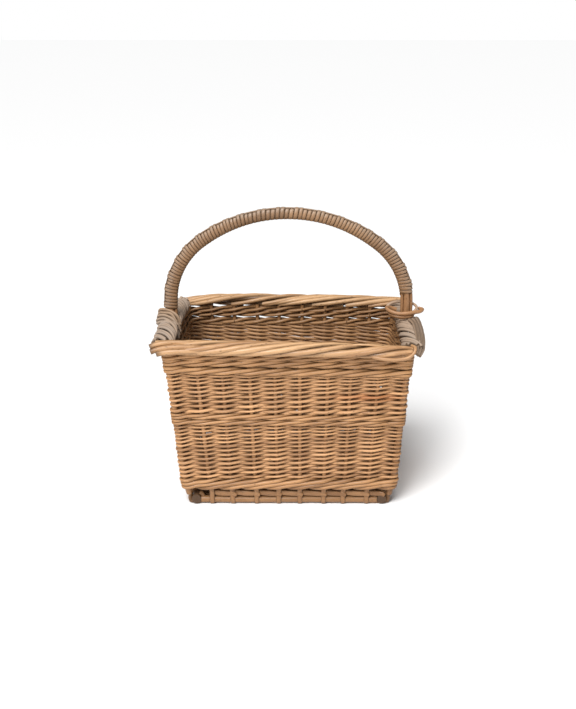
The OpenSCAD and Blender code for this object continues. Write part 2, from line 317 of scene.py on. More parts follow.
def settle(points):
    p = np.array(points, float)
    rise = np.clip(p[:, 2] / rim_height, 0, 1)
    turn = foot_twist + (rim_twist - foot_twist) * rise
    x = p[:, 0] * np.cos(turn) - p[:, 1] * np.sin(turn)
    y = p[:, 0] * np.sin(turn) + p[:, 1] * np.cos(turn)
    tuck = np.clip((50.0 - p[:, 2]) / 28.0, 0, 1)
    p[:, 0], p[:, 1] = x * (1 - foot_tuck * tuck), y
    p[:, 2] -= rim_dip * x * rise**2
    at_back = np.clip((p[:, 1] - 90.0) / 35.0, 0, 1) * np.clip((p[:, 2] - 238.0) / 22.0, 0, 1)
    to_left, to_right = np.clip(-p[:, 0] / 195.0, 0, 1), np.clip(p[:, 0] / 195.0, 0, 1)
    p[:, 2] -= at_back * (back_sag + back_left_sag * to_left ** 2 + back_right_sag * to_right ** 2)
    belly = np.exp(-((p[:, 1] / 85.0) ** 2) - ((p[:, 2] - 280.0) / 70.0) ** 2)
    p[:, 0] += belly * np.where(x < 0, -left_belly, right_belly) * np.clip(np.abs(x) / 190.0, 0, 1) ** 2
    return p

moved = settle([(-200.0, 150.0, rim_height)])[0] - (-200.0, 150.0, rim_height)
print("the left back corner moves by", moved.round(1))

# %% [markdown]
# ## Willow as a material
# Peeled willow is honey coloured. Each rod differs, so the `rod` number picks a tint. Long thin
# streaks follow the `grain`, small dark specks are the scars of buds, and broad soft clouds over the
# whole basket are years of light and dust. `age` mixes in a dry grey, `cut` ends are darker, painted
# shade darkens the crevices and hidden sides, and the foot is grimy from the ground. A picture could
# be wrapped round each rod instead, but patterns that follow the facts fit every bend. First come the
# mixing tools.

# %% Get the mixing tools
class Recipe:
    """Each helper adds one shader node to the finish and hands back its output."""
    def __init__(self, name):
        self.finish = bpy.data.materials.new(name)
        self.finish.use_nodes = True
        self.tree = self.finish.node_tree
        self.shader = self.tree.nodes["Principled BSDF"]

    def node(self, kind, **settings):
        made = self.tree.nodes.new(kind)
        for key, value in settings.items():
            setattr(made, key, value)
        return made

    def fact(self, label, socket="Fac"):
        return self.node("ShaderNodeAttribute", attribute_name=label).outputs[socket]

    def stretch(self, source, scale):
        made = self.node("ShaderNodeMapping")
        made.inputs["Scale"].default_value = scale
        self.tree.links.new(source, made.inputs["Vector"])
        return made.outputs["Vector"]

    def noise(self, source, scale, detail=3.0):
        made = self.node("ShaderNodeTexNoise")
        made.inputs["Scale"].default_value = scale
        made.inputs["Detail"].default_value = detail
        self.tree.links.new(source, made.inputs["Vector"])
        return made.outputs["Fac"]

    def band(self, source, low, high, bottom=0.0, top=1.0):
        """Turn the values from low to high of source into values from bottom to top."""
        made = self.node("ShaderNodeMapRange")
        for socket, value in (("From Min", low), ("From Max", high), ("To Min", bottom), ("To Max", top)):
            made.inputs[socket].default_value = value
        self.tree.links.new(source, made.inputs["Value"])
        return made.outputs["Result"]

    def mix(self, amount, first, second):
        made = self.node("ShaderNodeMix", data_type="RGBA")
        for label, value in (("Factor", amount), ("A", first), ("B", second)):
            socket = made.inputs[label]
            if isinstance(value, bpy.types.NodeSocket):
                self.tree.links.new(value, socket)
            elif isinstance(value, tuple):
                socket.default_value = (*value, 1.0)
            else:
                socket.default_value = value
        return [o for o in made.outputs if o.type == "RGBA"][0]

def times(factor, colour):
    return tuple(factor * v for v in colour)

print("mixing tools ready")

# %% [markdown]
# Next come the layers of the finish, each laid over the colour below it. The bark layers make a clean
# rod, the wear layers make it an old one and paint shade into its crevices.

# %% Lay the layers of a finish
def bark(mixing, light, deep, streaks, marks, cloudy, specks):
    """A clean rod: its tint, with streaks, lighter marks, clouds and the scars of buds."""
    tint = mixing.node("ShaderNodeValToRGB")
    tint.color_ramp.elements[0].color = (*deep, 1.0)
    tint.color_ramp.elements[1].color = (*light, 1.0)
    middle = tint.color_ramp.elements.new(0.35)
    middle.color = (*[0.45 * d + 0.55 * l for d, l in zip(deep, light)], 1.0)
    mixing.tree.links.new(mixing.fact("rod"), tint.inputs["Fac"])
    place = mixing.node("ShaderNodeTexCoord").outputs["Object"]
    cloud = mixing.noise(place, 17.0)
    colour = mixing.mix(mixing.band(streaks, 0.45, 0.75, 0.0, 0.3), tint.outputs["Color"], times(0.62, deep))
    colour = mixing.mix(mixing.band(marks, 0.52, 0.72, 0.0, 0.45), colour, times(1.18, light))
    colour = mixing.mix(mixing.band(cloud, 0.42, 0.7, 0.0, cloudy), colour, times(0.9, deep))
    speck = mixing.node("ShaderNodeTexVoronoi")
    beside_grain = mixing.stretch(mixing.fact("grain", "Vector"), (260.0, 260.0, 75.0))
    mixing.tree.links.new(beside_grain, speck.inputs["Vector"])
    speck.inputs["Scale"].default_value = 1.0
    scars = mixing.band(speck.outputs["Distance"], 0.10, 0.17, 0.8 * specks, 0.0)
    return mixing.mix(scars, colour, times(0.42, deep))

def stain(mixing, colour):
    """One rusty stain on the right of the front wall."""
    near = mixing.node("ShaderNodeMapping", vector_type="TEXTURE")
    near.inputs["Location"].default_value = (0.125, -0.13, 0.19)
    near.inputs["Scale"].default_value = (0.075, 0.04, 0.009)
    mixing.tree.links.new(mixing.node("ShaderNodeTexCoord").outputs["Object"], near.inputs["Vector"])
    far = mixing.node("ShaderNodeVectorMath", operation="LENGTH")
    mixing.tree.links.new(near.outputs["Vector"], far.inputs[0])
    return mixing.mix(mixing.band(far.outputs["Value"], 0.3, 1.0, 0.6, 0.0), colour, (0.40, 0.13, 0.03))

def wear_and_painted_shade(mixing, colour, deep, grey):
    """Grime near the ground, dry grey where the rod is old, dark cut ends, and painted shade in the crevices."""
    place = mixing.node("ShaderNodeTexCoord").outputs["Object"]
    height = mixing.node("ShaderNodeSeparateXYZ")
    mixing.tree.links.new(place, height.inputs[0])
    colour = mixing.mix(mixing.band(height.outputs["Z"], 0.012, 0.036, 0.55, 0.0), colour, times(0.62, deep))
    weather = mixing.node("ShaderNodeMath", operation="MULTIPLY")
    mixing.tree.links.new(mixing.fact("age"), weather.inputs[0])
    mixing.tree.links.new(mixing.band(mixing.noise(place, 60.0), 0.25, 0.6, 0.55, 1.0), weather.inputs[1])
    colour = mixing.mix(weather.outputs["Value"], colour, grey)
    pith = mixing.band(mixing.noise(mixing.fact("grain", "Vector"), 900.0), 0.4, 0.6)
    colour = mixing.mix(mixing.fact("cut"), colour, mixing.mix(pith, times(0.42, deep), times(0.55, deep)))
    # painted shade: the darkened corners are mixed towards a very dark brown
    return mixing.mix(mixing.fact("painted_shade_and_dark_ends"), colour, times(0.22, deep))

print("layers ready")

# %% [markdown]
# ## The eight finishes
# Weavers are the palest rods, the stakes are browner, the borders at the ends have gone grey, and the
# handle is darkened by hands. Only two colours, the roughness and the clouds change between them.

# %% Mix the willow finishes
def willow(name, light, deep, grey=(0.42, 0.35, 0.28), rough=0.48, clouds=0.45, specks=1.0, stained=False):
    mixing = Recipe(name)
    grain = mixing.fact("grain", "Vector")
    streaks = mixing.noise(mixing.stretch(grain, (520.0, 520.0, 22.0)), 1.0)
    marks = mixing.noise(mixing.stretch(grain, (240.0, 240.0, 60.0)), 1.0, 2.0)
    colour = bark(mixing, light, deep, streaks, marks, clouds, specks)
    if stained:
        colour = stain(mixing, colour)
    mixing.tree.links.new(wear_and_painted_shade(mixing, colour, deep, grey), mixing.shader.inputs["Base Color"])
    roughness = mixing.band(marks, 0.3, 0.7, rough - 0.08, rough + 0.16)
    mixing.tree.links.new(roughness, mixing.shader.inputs["Roughness"])
    mixing.shader.inputs["Specular IOR Level"].default_value = 0.4
    bump = mixing.node("ShaderNodeBump")
    bump.inputs["Strength"].default_value = 0.25
    bump.inputs["Distance"].default_value = 0.0006
    mixing.tree.links.new(streaks, bump.inputs["Height"])
    mixing.tree.links.new(bump.outputs["Normal"], mixing.shader.inputs["Normal"])
    return mixing.finish

weaver_willow = willow("honey_weavers", (0.62, 0.338, 0.154), (0.29, 0.14, 0.056), stained=True)
wale_willow = willow("golden_wale", (0.475, 0.25, 0.105), (0.26, 0.125, 0.048), rough=0.43)
stake_willow = willow("brown_stakes", (0.42, 0.22, 0.095), (0.24, 0.115, 0.046))
border_willow = willow("pale_border", (0.54, 0.325, 0.162), (0.31, 0.155, 0.067),
                       rough=0.4, clouds=0.3, specks=1.2)
grey_willow = willow("weathered_border", (0.38, 0.25, 0.155), (0.25, 0.155, 0.09),
                     (0.33, 0.26, 0.205), rough=0.6)
handle_willow = willow("handle_rods", (0.36, 0.185, 0.085), (0.22, 0.108, 0.045), rough=0.42)
skein_willow = willow("skein", (0.31, 0.172, 0.084), (0.17, 0.088, 0.04), (0.30, 0.23, 0.17), rough=0.42)
base_finish = willow("base_willow", (0.34, 0.19, 0.095), (0.21, 0.11, 0.05), rough=0.55)
print("eight willow finishes mixed")

# %% [markdown]
# ## The line of the wall
# Thirty-two uprights stand round the basket: eight in each long wall, six in each end wall and one
# post in each corner. The walls flare, so everything is worked out at its own height. Seen from
# above, the weaver works to the right and round the corner, and the uprights are counted that way.

# %% Place the uprights
half_long, half_short, flare = 163.8, 113.3, 0.07238
long_count, end_count = 8, 6
post_inset = 2.0
stake_r, post_r = 3.0, 4.5
side_names = ("front", "right", "back", "left")

rightwards, backwards = np.array([1.0, 0.0]), np.array([0.0, 1.0])
walls = [(rightwards, -backwards, long_count), (backwards, rightwards, end_count),
         (-rightwards, backwards, long_count), (-backwards, -rightwards, end_count)]
uprights = []
for number, (ahead, outward, count) in enumerate(walls):
    for i in range(count):
        uprights.append(("stake", number, (i - (count - 1) / 2) * 2 / (count + 1.2), dice.normal(0, 0.9)))
    uprights.append(("post", number, 0.0, 0.0))
upright_count = len(uprights)
print(upright_count, "uprights")

# %% [markdown]
# Every woven rod asks three things about the wall: where it stands at a height, where an upright
# stands in it, and where a rod lies that passes in front of that upright or behind it.

# %% Find a place on the wall
def wall_half(number, z):
    """Half the distance between the two walls that face each other, at height z."""
    return (half_short if number % 2 == 0 else half_long) + flare * z

def upright_at(k, z):
    """Centre, outward direction and radius of upright k at height z."""
    kind, number, share, shift = uprights[k % upright_count]
    ahead, outward, _ = walls[number]
    if kind == "stake":
        run = share * wall_half(number + 1, z) + shift
        return ahead * run + outward * wall_half(number, z), outward, stake_r
    corner = outward * (wall_half(number, z) - post_inset) + ahead * (wall_half(number + 1, z) - post_inset)
    return corner, (outward + ahead) / math.sqrt(2), post_r

def passing(k, z, side, thick):
    """Turning points of a rod that passes upright k: side is 1 in front of it, -1 behind it, 0 beside it."""
    centre, outward, radius = upright_at(k, z)
    kind, number, _, _ = uprights[k % upright_count]
    reach = side * (radius + thick)
    spots = [centre + outward * reach]
    if kind == "post" and side > 0:
        spots = [centre + walls[number][1] * reach, *spots, centre + walls[number][0] * reach]
    return [(x, y, z) for x, y in spots]

def between(k, z, bulge):
    """The point half way from upright k to the next one, moved outwards by bulge."""
    here, out, _ = upright_at(k, z)
    there, out_there, _ = upright_at(k + 1, z)
    out = (out + out_there) / np.linalg.norm(out + out_there)
    return (here + there) / 2 + out * bulge

print("front wall is", round(2 * wall_half(1, 280.0)), "mm long at the rim")

# %% [markdown]
# ## Randing
# The two panels are French randing. One rod starts at every upright, goes in front of one and behind
# the next, and climbs one row each time it passes an upright. So the strokes stand in columns, the
# rows are thick at the bottom where the butts are, and thin at the top where the tips are. The inner
# strokes are drawn thicker and a little higher or lower, so that no light comes through the wall.

# %% Weave the randed panels
thinnest, inner_growth = 1.56, 1.72

def rand_panel(name, bottom, top, layers, first_pitch, last_pitch):
    pitch = np.linspace(first_pitch, last_pitch, layers)
    pitch *= (top - bottom) / pitch.sum()
    height = bottom + np.cumsum(pitch) - pitch / 2
    wave = dice.normal(0, 1, (4, 2))
    panel = Bundle()
    for start in range(upright_count):
        stations = []
        strength = 1 + dice.normal(0, 0.09)
        lift = dice.normal(0, 0.2)
        for layer in range(-1, layers + 1):
            m = min(max(layer, 0), layers - 1)
            k = start + layer
            in_front = m % 2 == 1 and layer == m
            radius = max(0.5 * pitch[m], thinnest) * strength * (1.0 if in_front else inner_growth)
            round_way = 2 * math.pi * (k % upright_count) / upright_count
            ripples = [size * math.sin((i + 1) * round_way + turn * 3) for i, (size, turn) in enumerate(wave)]
            swell = sum(ripples) * 0.4
            ease = math.sin(math.pi * (height[m] - bottom) / (top - bottom))
            z = height[m] + (layer - m) * 0.35 * pitch[m] + lift + swell * ease
            facing = upright_at(k, z)[1][1]
            sag = -0.65 - 0.65 * facing if in_front else -0.1 + 0.9 * facing
            sag += dice.normal(0, 0.22)
            reach = (1 if in_front else -1) * ((0.86 if in_front else 0.62) + dice.normal(0, 0.05))
            for spot in passing(k, z + sag, reach, radius):
                # behind an upright the rod gets strong painted shade, in front of it none
                stations.append((*spot, radius, 1.0 if in_front else 0.66, 0.0 if in_front else 0.85))
            if layer < layers:
                x, y = between(k, z, 0.9 + dice.normal(0, 0.2))
                half_r = max(0.56 * pitch[m], 1.7) * strength
                # half way between uprights the painted shade is faint
                stations.append((x, y, z + 0.5 * pitch[m] + 0.25, half_r, 0.95, 0.1))
        # rim paints shade along the edges of each stroke, inner paints shade on the inside of the wall
        lay_rod(panel, stations, 4.2, rim=0.33, inner=0.4)
    panel.make(name, weaver_willow, [f"{name}_{side}" for side in side_names])

rand_panel("lower_randing", 45.0, 141.5, 27, 4.15, 2.85)
rand_panel("upper_randing", 158.5, 227.5, 19, 4.6, 2.75)

# %% [markdown]
# ## Waling
# Bands of stouter rods lock the stakes in place. In a three-rod wale each rod goes in front of two
# stakes and behind the next, and the one that moves is always laid over the other two, so every
# stroke rises to the right like a strand of rope. After one round of 32 uprights the three rods have
# changed places, so a round is one long line of 96 steps; it is cut where real rods would be joined.

# %% Weave the wales
def wale_rod(bundle, here, there, k_shift, wale, levels, half_levels, wave):
    """One rod of a wale, from step here to step there, tapering as it goes."""
    middle, radius, in_front = wale
    beat = in_front + 1
    stations = []
    for step in range(here, there + 1):
        phase = step % beat
        k = step + k_shift
        swell = wave[0] * math.sin(k * 0.39) + wave[1] * math.sin(k * 0.98)
        behind = phase == 0
        taper = (1.06 - 0.16 * (step - here) / max(1, there - here)) * radius
        for spot in passing(k, levels[phase] + middle + swell, -0.8 if behind else 0.95, radius * 0.9):
            # behind a stake the rod gets painted shade
            stations.append((*spot, taper, 1.0, 0.7 if behind else 0.0))
        if step < there:
            stays_out = 0 < phase < in_front
            x, y = between(k, middle, radius * 1.7 if stays_out else 0.3)
            z = half_levels[phase] + middle + swell
            # painted shade where the rod dips between stakes, none where it stays out in front
            stations.append((x, y, z, taper, 1.0, 0.0 if stays_out else 0.3))
    # rim paints shade along the edges of each stroke, inner paints shade on the inside of the wall
    lay_rod(bundle, stations, 4.5, wobble=0.03, rim=0.4, inner=0.35)

def wale_band(name, rounds, joins=7):
    """rounds lists (height of its middle, rod radius, how many stakes a stroke passes in front of)."""
    band = Bundle()
    for wale in rounds:
        _, radius, in_front = wale
        beat = in_front + 1
        lanes = 1 if beat == 3 else beat
        spread = radius * (in_front - 1)
        levels = [0.0] + list(np.linspace(-1, 1, in_front) * spread * 0.95)
        half_levels = list(np.linspace(-1, 1, beat) * spread * 1.22)
        offset = int(dice.integers(0, upright_count))
        wave = dice.normal(0, 0.35, 2)
        for lane in range(lanes):
            steps = upright_count * beat // lanes
            cuts = sorted({int(c) * beat for c in dice.integers(0, steps // beat, max(2, joins // lanes))})
            for here, there in zip(cuts, cuts[1:] + [cuts[0] + steps]):
                wale_rod(band, here, there, offset + lane, wale, levels, half_levels, wave)
    band.make(name, wale_willow, [f"{name}_{side}" for side in side_names])

wale_band("bottom_wale", [(38.0, 3.2, 3)])
wale_band("middle_wale", [(146.2, 2.5, 2), (155.8, 2.5, 2)])
wale_band("upper_wale", [(231.9, 3.05, 2)])
wale_band("top_wale", [(244.8, 2.95, 2), (254.0, 3.0, 2)])

# %% [markdown]
# ## The foot
# Two thick end sticks run from front to back under the ends, and a thinner rod runs along the front
# and the back. They are plain straight rods, and the end sticks show their dark cut ends at the
# corners, so these ends stand a little proud of everything round them.

# %% Lay the end sticks and foot rods
end_stick_x, end_stick_z, end_stick_r, end_stick_half = 151.5, 9.45, 7.8, 116.1
foot_rod_y, foot_rod_z, foot_rod_r, foot_rod_half = 110.8, 7.0, 5.4, 143.4

end_sticks = Bundle()
for sign in (-1, 1):
    y = np.linspace(-end_stick_half, end_stick_half, 40)
    line = np.stack([np.full(40, sign * end_stick_x), y, np.full(40, end_stick_z)], 1)
    # the last few centimetres at each end are mixed darker all round
    darkened_ends = 0.55 * np.clip((np.abs(y) - 100) / 12, 0, 1)
    end_sticks.add(line, end_stick_r, sides=14, wobble=0.012, tone=0.0, shade=darkened_ends, where="all round")
end_sticks.make("base_end_sticks", base_finish, ["base_end_sticks"])
for sign, side in ((-1, "front"), (1, "back")):
    foot_rod = Bundle()
    x = np.linspace(-foot_rod_half, foot_rod_half, 60)
    line = np.stack([x, np.full(60, sign * foot_rod_y), foot_rod_z + 0.35 * np.sin(x / 31.0)], 1)
    foot_rod.add(line, foot_rod_r, sides=12, wobble=0.02, tone=0.45)
    foot_rod.make("foot_rod_" + side, wale_willow, ["foot_rod_" + side])

# %% [markdown]
# ## Stakes and corner posts
# Stakes are the uprights that everything else is woven round. They are straight rods, a little
# uneven, that lean out with the wall. Each begins at the foot: its butt is shaved to a thin strap,
# wrapped down round the foot rod and up again, and its tail is laid along the foot to the next
# stake. Makers call such a stake scallomed. A corner post is wrapped round its end stick instead.

# %% Shape a stake, its strap and its tail
strap_half, strap_thin, post_strap_thin = 4.0, 0.85, 3.2
post_strap_y = 109.5

def set_stake(bundle, k, foot, head):
    heights = np.linspace(foot, head, 25)
    drift = dice.normal(0, 0.35, 2)
    line = np.array([(*upright_at(k, z)[0], z) for z in heights])
    line[:, 0] += drift[0] * np.sin(heights / 40.0)
    line[:, 1] += drift[1] * np.sin(heights / 31.0)
    bundle.add(line, upright_at(k, 0)[2] * 1.15, across=(0.0, 1.0, 0.0), wobble=0.04)

def wrap_strap(bundle, k, lean=0.0):
    """The shaved butt of stake k: down in front of the foot, under it, up behind and over the top."""
    kind, number, _, _ = uprights[k % upright_count]
    ahead, outward, _ = walls[number]
    centre, _, _ = upright_at(k, 24.0)
    core, level, radius, thin = foot_rod_y, foot_rod_z, foot_rod_r, strap_thin
    if number % 2 == 1 or kind == "post":
        core, level, radius = end_stick_x, end_stick_z, end_stick_r
    if kind == "post":
        ahead, outward = backwards, rightwards * math.copysign(1.0, centre[0])
        thin = post_strap_thin
    along = float(centre @ ahead)
    if kind == "post":
        along = math.copysign(post_strap_y, along)
    spots = [(float(centre @ outward) + 2.6, 29.0), (float(centre @ outward) + 1.2, 22.0)]
    for degrees in range(30, -241, -30):
        turn = math.radians(degrees)
        spots.append((core + (radius + thin) * math.cos(turn), level + (radius + thin) * math.sin(turn)))
    knots = [(*(ahead * (along + lean * (1 - i / 6)) + outward * out), z) for i, (out, z) in enumerate(spots)]
    line = smooth_line(knots, 3.0)
    line[:, 2] = np.maximum(line[:, 2], thin + 0.1)
    # the edges of each strap are painted dark, as the shade between straps
    bundle.add(line, strap_half, across=(*ahead, 0.0), flat=thin / strap_half, wobble=0.02, sides=12,
               shade=0.6, where="edges", tone=0.8 + 0.2 * dice.random())

def lay_tail(bundle, k):
    """The tail of stake k, lying along the foot as far as the next stake, cut on a slant."""
    _, number, _, _ = uprights[k % upright_count]
    ahead, outward, _ = walls[number]
    long_wall = number % 2 == 0
    level = 19.0 if long_wall else 22.0
    here = float(upright_at(k, level)[0] @ ahead) + 1.0
    before_post = uprights[(k + 1) % upright_count][0] == "post"
    there = float(upright_at(k + 1, level)[0] @ ahead) + (-7.0 if before_post else 5.5)
    out = wall_half(number, level) - (0.2 if long_wall else 1.6)
    share = np.linspace(0, 1, 16)
    run = here + (there - here) * share
    dip = np.clip((share - 0.8) / 0.2, 0, 1)
    away = out - 2.4 * (1 - share) ** 3 + 2.4 * dip
    rise = level + 1.4 * (1 - share) ** 4 - 0.9 * share - 1.6 * dip * dip
    line = np.column_stack([run[:, None] * ahead + away[:, None] * outward, rise])
    thick = np.interp(share, [0, 0.15, 0.9, 1], [3.4, 4.7, 4.4, 2.8])
    bundle.add(line, thick, flat=0.6, sides=10, wobble=0.03)

print("straps are", 2 * strap_half, "mm wide")

# %% Set the stakes and corner posts
stake_foot, stake_head = 23.0, 263.0
post_foot, post_head = 18.0, 262.0

for number, side in enumerate(side_names):
    stakes = Bundle()
    for k, upright in enumerate(uprights):
        if upright[0] == "stake" and upright[1] == number:
            set_stake(stakes, k, stake_foot, stake_head)
            wrap_strap(stakes, k, dice.normal(0, 1.2))
            lay_tail(stakes, k)
    stakes.make("stakes_" + side, stake_willow, ["stakes_" + side])
posts = Bundle()
for k, upright in enumerate(uprights):
    if upright[0] == "post":
        set_stake(posts, k, post_foot, post_head)
        wrap_strap(posts, k)
posts.make("corner_posts", stake_willow, ["corner_posts"])

# %% [markdown]
# ## The woven floor
# Seven thin sticks run from front to back. One long weaver goes over and under them, round the end
# stick, and back again, row after row. It carries the load, so it is packed tight.

# %% Lay the base sticks
base_stick_r, base_stick_half, stick_gap, floor_z = 3.6, 103.0, 35.3, 9.0

stick_x = [(i - 3) * stick_gap for i in range(7)]
base_sticks = Bundle()
for x in stick_x:
    y = np.linspace(-base_stick_half, base_stick_half, 30)
    line = np.stack([np.full(30, x) + 0.8 * np.sin(y / 30 + x), y, np.full(30, floor_z)], 1)
    base_sticks.add(line, base_stick_r, sides=10)
base_sticks.make("base_sticks", base_finish, ["base_sticks"])

# %% Weave the floor
weaver_r, row_pitch = 1.92, 3.88

rows = int(2 * base_stick_half / row_pitch) + 1
floor_weave = Bundle()
knots = []
for row in range(rows):
    y = -base_stick_half + row * row_pitch
    way = 1 if row % 2 == 0 else -1
    for j, x in enumerate(stick_x[::way]):
        over = 1 if (j + (0 if way > 0 else 1)) % 2 else -1
        knots.append((x, y + dice.normal(0, 0.15), floor_z + over * (base_stick_r + weaver_r)))
    edge = way * end_stick_x
    round_stick = end_stick_r + weaver_r
    knots.append((edge - way * 1.5, y, end_stick_z + way * 0.97 * round_stick))
    knots.append((edge + way * round_stick, y + row_pitch / 2, end_stick_z))
    knots.append((edge - way * 1.5, y + row_pitch, end_stick_z - way * 0.97 * round_stick))
line = smooth_line(knots, 4.6)
line[:, 2] = np.maximum(line[:, 2], weaver_r + 0.05)
for part in np.array_split(np.arange(len(line)), 24):
    part = np.append(part, min(part[-1] + 1, len(line) - 1))
    floor_weave.add(line[part], weaver_r, sides=6, wobble=0.02)
floor_weave.make("base_weave", weaver_willow, ["base_weave"])

# %% [markdown]
# ## The border
# At the top every stake is turned down and rolled over its neighbours, so the border looks like a
# rope. Each rod comes out at the bottom of the outer face, climbs over the top while it travels along,
# and is tucked away inside. The same rolling serves all four borders: only the pace, the number and
# the thickness of the rods differ.

# %% Roll one rod round a border
border_z, border_half_height, border_end = 269.0, 11.5, 204.5
long_centre, long_half_width = 138.5, 14.5
short_centre, short_half_width, short_end = 188.3, 16.6, 123.0
border_sizes = ((long_centre, long_half_width), (short_centre, short_half_width))

def roll_rod(bundle, number, begin, length, first_turn, last_turn, radius, limits, squeeze=lambda run: 1.0,
             age=0.0, lift=(0.0, 0.0), tip=0.75, tone=None, painted_shade_and_dark_ends=None):
    """A rod from begin, over length, that rolls round the border from first_turn to last_turn degrees."""
    ahead, outward, _ = walls[number]
    centre, half_width = border_sizes[number % 2]

    def crevices(ring):
        """Painted shade below the surface of the border, in the valleys between the rods."""
        out = (ring[..., :2] @ outward - centre) / half_width
        drawn = np.vectorize(squeeze)(ring[..., :2] @ ahead)
        depth = np.hypot(out, (ring[..., 2] - border_z) / border_half_height) / drawn
        return 0.6 * np.clip((0.92 - depth) / 0.16, 0, 1)

    line, thick, grey = [], [], []
    for s in np.linspace(0, 1, max(10, int(length / 5))):
        run = begin + length * s
        if limits[0] <= run <= limits[1]:
            turn = math.radians(first_turn + (last_turn - first_turn) * s)
            r = radius * (1.05 + (tip - 1.05) * s)
            shrink = squeeze(run)
            extra = lift[0] + (lift[1] - lift[0]) * s
            out = centre + ((half_width - r) * shrink + extra) * math.cos(turn)
            high = border_z + ((border_half_height - r) * shrink + extra) * math.sin(turn)
            line.append((*(ahead * run + outward * out), high))
            thick.append(r * (0.5 + 0.5 * shrink))
            grey.append(age * (0.75 + 0.25 * math.sin(turn)))
    if len(line) > 4:
        # unless told otherwise, the rod gets painted shade in the valleys of the border
        bundle.add(np.array(line), np.array(thick), age=np.array(grey), sides=12, wobble=0.03, tone=tone,
                   shade=crevices if painted_shade_and_dark_ends is None else painted_shade_and_dark_ends, where="all round")

print("borders roll at", border_z, "mm")

# %% [markdown]
# The long borders are a slow roll of thick pale rods over a core painted dark as shade, drawn
# together at the end where they are tucked in. At the front the butts of three rods show on the left,
# and one rod curls up round the right corner.

# %% Roll the long borders
def gather(run):
    """The rods of a long border draw together, much at the tucked end and a little at the other."""
    tucked = float(np.clip((run - 140.0) / 54.0, 0, 1)) ** 1.5
    started = float(np.clip((-run - 120.0) / 80.0, 0, 1)) ** 1.2
    return 1.0 - 0.6 * tucked - 0.1 * started

front_butts = (
    [(-112, -138, 271), (-150, -139.5, 277), (-180, -143.5, 277.5), (-196, -147, 275.5), (-203, -149.5, 273)],
    [(-112, -140, 269), (-150, -147, 273.5), (-180, -150, 272), (-194, -152, 269.5), (-201.5, -154, 267)],
    [(-105, -142, 267), (-142, -149, 267.5), (-168, -151.5, 267), (-184, -152.5, 265.5), (-193, -155, 264.5)])
front_curl = [(112, -141, 266), (142, -150.5, 260.5), (166, -151.5, 260.5), (181, -150, 264),
              (188, -147.5, 270.5), (189.5, -141, 276.5), (185, -134, 277)]
front_split = [(92, -139, 276.5), (102, -141, 279), (126, -142, 279), (141, -141.5, 277)]

for number, side, far_end in ((0, "front", 189.0), (2, "back", border_end - 3)):
    border = Bundle()
    start = -204.0 - 250.0
    while start < 190.0:
        length = 262.0 + dice.normal(0, 14)
        first_turn, last_turn = -105 + dice.normal(0, 6), 218 + dice.normal(0, 8)
        radius = 4.45 * (1 + dice.normal(0, 0.07))
        limits = (-border_end + 6 + dice.random() * 3, far_end - dice.random() * 5)
        lift = (-0.6, float(dice.normal(0.3, 0.4)))
        roll_rod(border, number, start, length, first_turn, last_turn, radius, limits, gather, lift=lift)
        start += 45.0 + dice.normal(0, 3.0)
    # two core rods, painted dark all round as the shade between the rolled rods
    for turn in (0, 180):
        roll_rod(border, number, -198.0, 384.0, turn, turn + 400, 4.6, (-194, 180),
                 lambda run: 0.5 * gather(run), tip=1.0, painted_shade_and_dark_ends=0.7)
    if side == "front":
        for knots in front_butts:
            # each butt is mixed darker towards its cut end; rim paints shade along its edges
            darkened_ends = 0.75 * np.clip(np.linspace(-9, 1, len(smooth_line(knots, 4.0))), 0, 1)
            bend_rod(border, knots, 4.0, 3.6, 4.3, sides=10, tone=0.2 + 0.4 * dice.random(),
                     shade=darkened_ends, where="all round", rim=0.35)
        bend_rod(border, front_curl, 4.0, 3.2, 2.4, sides=10, tone=0.2)
        bend_rod(border, front_split, 4.0, 1.7, 1.7, sides=8, tone=1.0)
    border.make("border_" + side, border_willow, ["border_" + side])

# %% [markdown]
# The end borders are plaited from many thinner rods that cross the top from the outside to the
# inside, some a little higher than their neighbours. They stand highest and catch the weather, so
# they are the greyest part. On the right end three long strands sweep along the outer edge to the
# front corner, and on the left end three cut ends stand up at the back.

